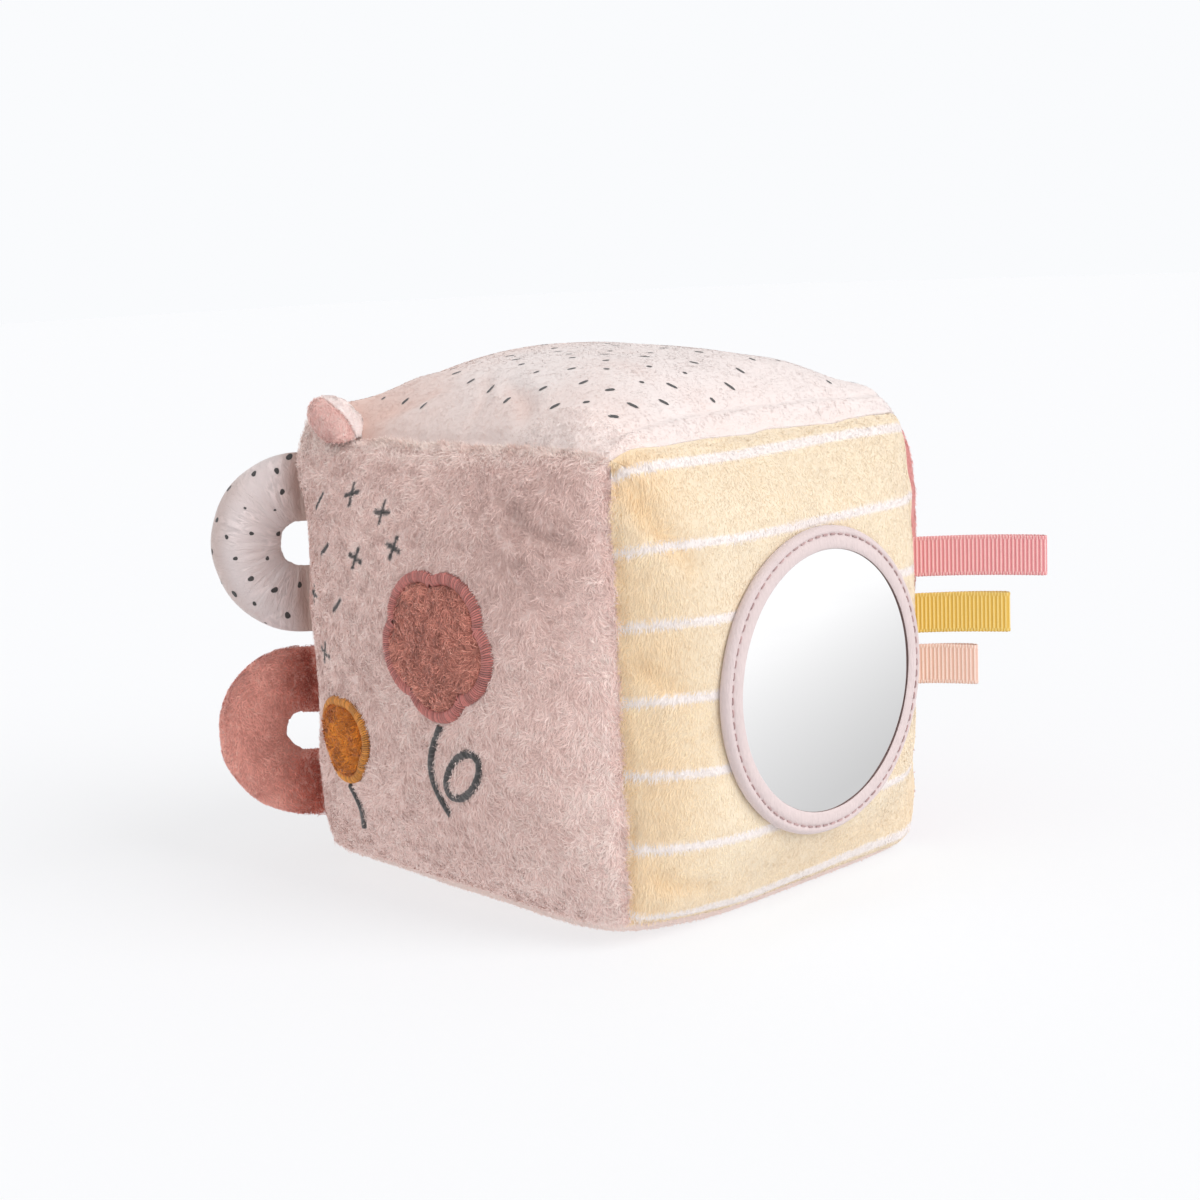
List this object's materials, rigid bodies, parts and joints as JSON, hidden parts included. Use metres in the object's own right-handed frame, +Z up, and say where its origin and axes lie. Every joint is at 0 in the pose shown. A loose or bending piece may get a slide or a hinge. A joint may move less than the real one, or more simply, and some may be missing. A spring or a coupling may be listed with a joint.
{
  "type": "soft fabric block",
  "caption": "Soft stuffed plush cube for a baby, with a sewn-in round mirror, stuffed ring handles, ribbon loops, a folded ear and padded flower patches.",
  "frame": {"origin": "middle of the flat underside, on the floor", "axes": "+Z up; the front panel faces -Y, the mirror panel +X; handles leave the -X/-Y corner, ribbons the +X/+Y corner"},
  "size_m": [0.1817, 0.1817, 0.1561],
  "materials": {
    "dusty_pink_plush": "matte",
    "yellow_striped_plush": "matte",
    "coral_plush": "matte",
    "peach_plush": "matte",
    "pale_pink_plush": "matte",
    "plain_pale_plush": "matte",
    "fibre_filling": "matte",
    "rattle_plastic": "satin",
    "ball_plastic": "gloss",
    "felt": "matte",
    "mirror": "gloss",
    "ring_fabric": "satin",
    "dotted_jersey": "matte",
    "rose_plush": "matte",
    "pink_grosgrain": "satin",
    "yellow_grosgrain": "satin",
    "peach_grosgrain": "satin",
    "ear_plush": "matte",
    "ear_satin": "satin",
    "rose_thread": "satin",
    "ochre_plush": "matte",
    "ochre_thread": "satin",
    "charcoal_thread": "satin"
  },
  "bodies": {
    "block": {"front_panel": "dusty_pink_plush", "mirror_panel": "yellow_striped_plush", "ribbon_panel": "coral_plush", "handle_panel": "peach_plush", "top_panel": "pale_pink_plush", "base_panel": "plain_pale_plush", "stuffing": "fibre_filling", "rattle_case_lower": "rattle_plastic", "rattle_case_upper": "rattle_plastic", "mirror_backing": "felt", "mirror_plate": "mirror", "mirror_ring": "ring_fabric", "flower_patch": "rose_plush", "flower_border": "rose_thread", "flower_stem": "charcoal_thread", "flower_leaf": "charcoal_thread", "bud_patch": "ochre_plush", "bud_border": "ochre_thread", "bud_stem": "charcoal_thread"},
    "upper_handle": {"upper_handle_cover": "dotted_jersey", "upper_handle_stuffing": "fibre_filling"},
    "lower_handle": {"lower_handle_cover": "rose_plush", "lower_handle_stuffing": "fibre_filling"},
    "pink_loop": {"pink_ribbon": "pink_grosgrain"},
    "yellow_loop": {"yellow_ribbon": "yellow_grosgrain"},
    "peach_loop": {"peach_ribbon": "peach_grosgrain"},
    "ear": {"ear_plush": "ear_plush", "ear_lining": "ear_satin"},
    "ball_1": {"rattle_ball_1": "ball_plastic"},
    "ball_2": {"rattle_ball_2": "ball_plastic"},
    "ball_3": {"rattle_ball_3": "ball_plastic"}
  },
  "joints": [
    {"name": "upper_handle_hinge", "type": "hinge", "parent": "block", "child": "upper_handle", "pos_m": [-0.0646, -0.0646, 0.1017], "axis": [0, 0, 1], "range_deg": [-35, 35]},
    {"name": "lower_handle_hinge", "type": "hinge", "parent": "block", "child": "lower_handle", "pos_m": [-0.0646, -0.0646, 0.0443], "axis": [0, 0, 1], "range_deg": [-35, 35]},
    {"name": "pink_loop_hinge", "type": "hinge", "parent": "block", "child": "pink_loop", "pos_m": [0.0646, 0.0646, 0.0894], "axis": [0, 0, 1], "range_deg": [-45, 45]},
    {"name": "yellow_loop_hinge", "type": "hinge", "parent": "block", "child": "yellow_loop", "pos_m": [0.0646, 0.0646, 0.0722], "axis": [0, 0, 1], "range_deg": [-45, 45]},
    {"name": "peach_loop_hinge", "type": "hinge", "parent": "block", "child": "peach_loop", "pos_m": [0.0646, 0.0646, 0.0565], "axis": [0, 0, 1], "range_deg": [-45, 45]},
    {"name": "ear_hinge", "type": "hinge", "parent": "block", "child": "ear", "pos_m": [-0.0465, -0.0646, 0.1341], "axis": [1, 0, 0], "range_deg": [-10, 60], "stiffness_Nm_per_rad": 0.002},
    {"name": "ball_1_slide", "type": "slide", "parent": "block", "child": "ball_1", "axis": [0, 0, 1], "range_m": [0, 0.0172]},
    {"name": "ball_2_slide", "type": "slide", "parent": "block", "child": "ball_2", "axis": [0, 0, 1], "range_m": [0, 0.0172]},
    {"name": "ball_3_slide", "type": "slide", "parent": "block", "child": "ball_3", "axis": [0, 0, 1], "range_m": [0, 0.0172]}
  ]
}
